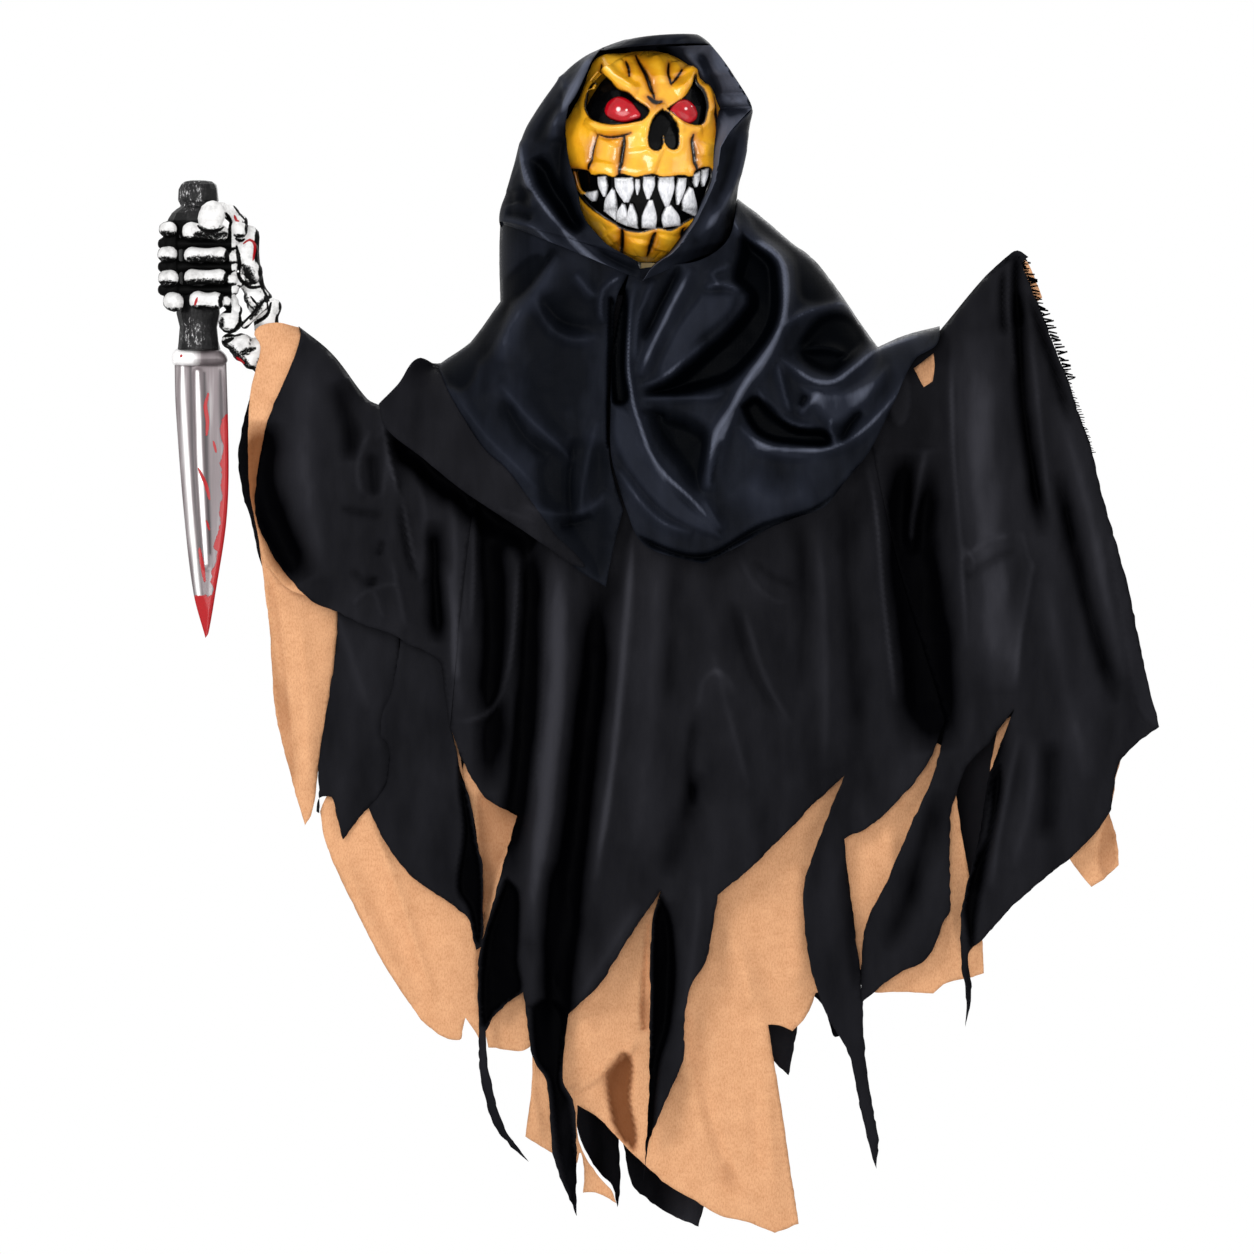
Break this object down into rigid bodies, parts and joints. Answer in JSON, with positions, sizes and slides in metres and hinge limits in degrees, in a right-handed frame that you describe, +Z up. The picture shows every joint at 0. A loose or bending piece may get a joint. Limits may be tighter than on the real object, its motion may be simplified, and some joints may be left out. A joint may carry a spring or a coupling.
{
  "type": "hanging halloween figure",
  "caption": "Hanging pumpkin-headed figure with skeleton hand and toy knife, hooded satin cape and ragged robe, on a rod with an eye.",
  "frame": {"origin": "centre of the hanging eye at the top of the rod", "axes": "+Z up along the hanger rod, the figure faces -Y, +X to the right of someone who faces it"},
  "size_m": [0.8957, 0.1743, 1.0777],
  "materials": {
    "steel": "satin zinc",
    "grey_tube": "satin",
    "case_black": "fine matt grain",
    "nylon_white": "matt",
    "cell_jacket": "printed sleeve, plain",
    "board_green": "solder mask",
    "pumpkin_orange": "gloss paint with black shading in its grooves",
    "mask_black": "gloss black paint",
    "tooth_white": "gloss white paint",
    "lens_red": "clear red",
    "tab_cream": "matt",
    "robe_taffeta": "black taffeta, slight sheen",
    "cape_satin": "blue-black satin",
    "lining_peach": "thin peach non-woven",
    "bone_white": "white with black dry-brushed joints",
    "handle_black": "satin",
    "knife_silver": "silver paint with red paint along the edge"
  },
  "bodies": {
    "torso": {"hanger_rod": "steel", "shoulder_hub": "case_black", "shoulder_bar": "grey_tube", "right_shoulder_clevis": "steel", "left_shoulder_clevis": "steel", "right_shoulder_pin": "steel", "left_shoulder_pin": "steel", "neck_collar": "steel", "chest_case_front": "case_black", "chest_case_back": "case_black", "battery_tray": "case_black", "battery_cell_1": "cell_jacket", "battery_cell_2": "cell_jacket", "battery_cell_3": "cell_jacket", "battery_contact_right": "steel", "battery_contact_left": "steel", "circuit_board": "board_green", "case_screw_1": "steel", "case_screw_2": "steel", "case_screw_3": "steel", "case_screw_4": "steel", "robe_body": "robe_taffeta", "front_lining": "lining_peach", "cape": "cape_satin"},
    "head": {"pumpkin_mask": "pumpkin_orange", "mask_liner": "mask_black", "upper_teeth": "tooth_white", "lower_teeth": "tooth_white", "skull_back": "pumpkin_orange", "upper_bushing": "nylon_white", "lower_bushing": "nylon_white", "right_eye_lens": "lens_red", "left_eye_lens": "lens_red", "right_eye_led": "lens_red", "left_eye_led": "lens_red", "eye_led_board": "board_green", "chin_tab": "tab_cream", "hood": "cape_satin"},
    "right_arm": {"right_arm_frame": "grey_tube", "right_sleeve": "robe_taffeta", "right_sleeve_lining": "lining_peach"},
    "left_arm": {"left_arm_frame": "grey_tube", "left_arm_cap": "case_black", "left_sleeve": "robe_taffeta", "left_sleeve_lining": "lining_peach"},
    "right_hand": {"skeleton_hand": "bone_white", "knife_handle": "handle_black", "knife_guard": "knife_silver", "knife_blade": "knife_silver"},
    "battery_door": {"battery_door": "case_black"},
    "power_switch": {"power_switch": "case_black"}
  },
  "joints": [
    {"name": "head_turn", "type": "hinge", "parent": "torso", "child": "head", "pos_m": [0, 0, -0.1], "axis": [0, 0, 1], "range_deg": [-35, 35], "deforming": ["hood"]},
    {"name": "right_shoulder", "type": "hinge", "parent": "torso", "child": "right_arm", "pos_m": [-0.09631, 0, -0.24302], "axis": [0, 1, 0], "range_deg": [-12, 8], "deforming": ["right_sleeve", "right_sleeve_lining", "cape"]},
    {"name": "left_shoulder", "type": "hinge", "parent": "torso", "child": "left_arm", "pos_m": [0.09631, 0, -0.24302], "axis": [0, -1, 0], "range_deg": [-12, 8], "deforming": ["left_sleeve", "left_sleeve_lining", "cape"]},
    {"name": "right_wrist", "type": "hinge", "parent": "right_arm", "child": "right_hand", "pos_m": [-0.34023, -0.012, -0.26102], "axis": [-0.7882, -0.0922, 0.6085], "range_deg": [-25, 25]},
    {"name": "battery_door_slide", "type": "slide", "parent": "torso", "child": "battery_door", "axis": [0, 0, -1], "range_m": [0, 0.05]},
    {"name": "power_switch_slide", "type": "slide", "parent": "torso", "child": "power_switch", "axis": [1, 0, 0], "range_m": [0, 0.005]}
  ]
}
